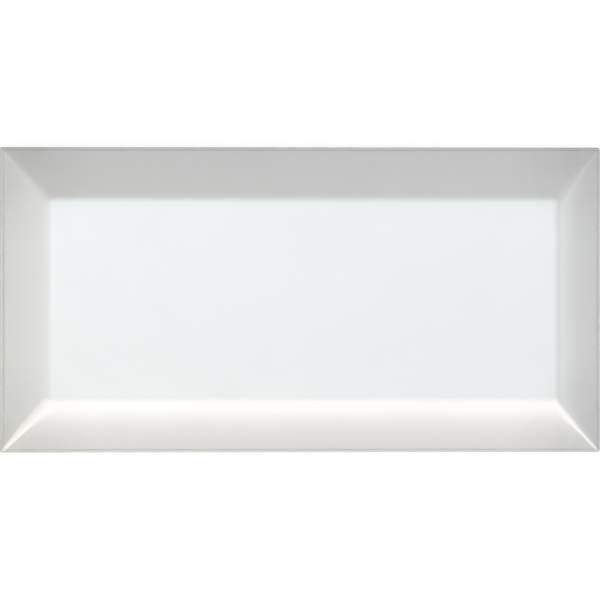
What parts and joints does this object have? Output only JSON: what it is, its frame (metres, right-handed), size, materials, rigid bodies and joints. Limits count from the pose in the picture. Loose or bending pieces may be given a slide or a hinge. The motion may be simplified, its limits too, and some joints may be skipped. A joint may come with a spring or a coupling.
{
  "type": "subway wall tile",
  "caption": "Oblong glazed ceramic wall tile with a raised flat field, a wide bevel along every side, upright edges and a ribbed back for adhesive.",
  "frame": {"origin": "middle of the back, on the plane of the rib crowns that the tile rests and is bedded on", "axes": "+X along the long side, +Y across the tile, +Z out of the glazed face"},
  "size_m": [0.15, 0.075, 0.008],
  "materials": {
    "white_glaze": "gloss"
  },
  "bodies": {
    "root": {"bevelled_tile": "white_glaze"}
  },
  "joints": []
}
